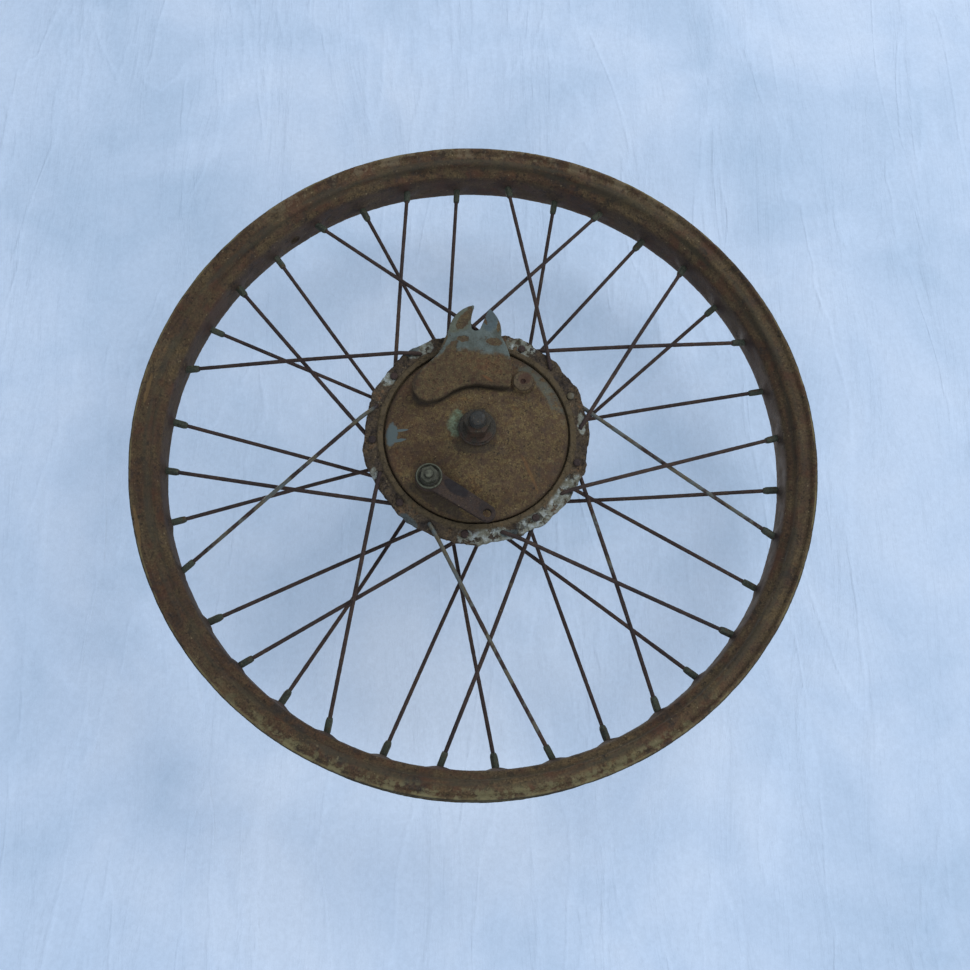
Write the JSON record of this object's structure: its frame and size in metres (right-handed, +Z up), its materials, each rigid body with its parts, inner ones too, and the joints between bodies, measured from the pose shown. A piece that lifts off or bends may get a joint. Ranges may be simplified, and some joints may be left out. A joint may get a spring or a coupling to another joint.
{
  "type": "spoked motorcycle wheel with drum brake hub",
  "caption": "Bare spoked front wheel of a light motorcycle, with a flanged rim, a half-width drum brake hub, brake plate and lever.",
  "frame": {"origin": "wheel centre: the rim's mid-plane on the axle's axis, halfway between the axle's ends", "axes": "+Y along the axle away from the brake plate, +Z up through the torque slot, +X to the right seen from the brake side"},
  "size_m": [0.508, 0.156, 0.508],
  "materials": {
    "rim_steel": "rusted, pitted",
    "spoke_steel": "rusted",
    "nipple_brass": "tarnished",
    "hub_iron": "rusted, flaking paint",
    "axle_steel": "tarnished",
    "bearing_steel": "ground",
    "plate_iron": "rusted, speckled",
    "lug_paint": "worn paint over rust",
    "bush_bronze": "verdigris",
    "lever_steel": "rusted",
    "shoe_alloy": "cast",
    "lining": "moulded",
    "spring_steel": "oiled"
  },
  "bodies": {
    "axle_and_plate": {"axle": "axle_steel", "bearing_cone_near": "bearing_steel", "bearing_cone_far": "bearing_steel", "axle_spacer": "axle_steel", "cone_sleeve": "axle_steel", "locknut_far": "axle_steel", "axle_washers_near": "axle_steel", "axle_washers_far": "axle_steel", "axle_nut_near": "axle_steel", "axle_nut_far": "axle_steel", "brake_plate": "plate_iron", "torque_lug": "lug_paint", "lug_rivets": "axle_steel", "anchor_pin": "axle_steel", "cam_bush": "bush_bronze", "return_spring_anchor": "spring_steel", "return_spring_cam": "spring_steel"},
    "wheel": {"rim": "rim_steel", "hub_shell": "hub_iron", "brake_drum": "hub_iron", "drum_rivets": "hub_iron", "bearing_cup_near": "bearing_steel", "bearing_cup_far": "bearing_steel", "dust_cap_near": "axle_steel", "dust_cap_far": "axle_steel", "spokes_near_outer": "spoke_steel", "spokes_far_outer": "spoke_steel", "spokes_near_inner": "spoke_steel", "spokes_far_inner": "spoke_steel", "nipples_near_outer": "nipple_brass", "nipples_far_outer": "nipple_brass", "nipples_near_inner": "nipple_brass", "nipples_far_inner": "nipple_brass"},
    "ball_set_near": {"bearing_balls_near": "bearing_steel", "ball_cage_near": "bearing_steel"},
    "ball_set_far": {"bearing_balls_far": "bearing_steel", "ball_cage_far": "bearing_steel"},
    "brake_cam_and_lever": {"brake_cam": "lever_steel", "brake_lever": "lever_steel", "lever_washer": "lever_steel", "lever_nut": "lever_steel"},
    "leading_shoe": {"leading_shoe": "shoe_alloy", "leading_lining": "lining"},
    "trailing_shoe": {"trailing_shoe": "shoe_alloy", "trailing_lining": "lining"}
  },
  "joints": [
    {"name": "wheel_spin", "type": "hinge", "parent": "axle_and_plate", "child": "wheel", "pos_m": [0, 0, 0], "axis": [0, -1, 0], "continuous": true},
    {"name": "near_balls_roll", "type": "hinge", "parent": "axle_and_plate", "child": "ball_set_near", "pos_m": [0, -0.017, 0], "axis": [0, -1, 0], "continuous": true},
    {"name": "far_balls_roll", "type": "hinge", "parent": "axle_and_plate", "child": "ball_set_far", "pos_m": [0, 0.038, 0], "axis": [0, -1, 0], "continuous": true},
    {"name": "cam_turn", "type": "hinge", "parent": "axle_and_plate", "child": "brake_cam_and_lever", "pos_m": [-0.03391, -0.04, -0.03675], "axis": [0, -1, 0], "range_deg": [0, 12], "stiffness_Nm_per_rad": 1.5, "springref_deg": -8.59, "deforming": ["return_spring_anchor", "return_spring_cam"]},
    {"name": "leading_shoe_pivot", "type": "hinge", "parent": "axle_and_plate", "child": "leading_shoe", "pos_m": [0.03391, -0.032, 0.03675], "axis": [0, -1, 0], "range_deg": [0, 1]},
    {"name": "trailing_shoe_pivot", "type": "hinge", "parent": "axle_and_plate", "child": "trailing_shoe", "pos_m": [0.03391, -0.032, 0.03675], "axis": [0, -1, 0], "range_deg": [-1, 0]}
  ],
  "couplings": [
    {"joint": "near_balls_roll", "follows": "wheel_spin", "ratio": 0.5927},
    {"joint": "far_balls_roll", "follows": "wheel_spin", "ratio": 0.5927},
    {"joint": "leading_shoe_pivot", "follows": "cam_turn", "ratio": 0.082},
    {"joint": "trailing_shoe_pivot", "follows": "cam_turn", "ratio": -0.082}
  ]
}
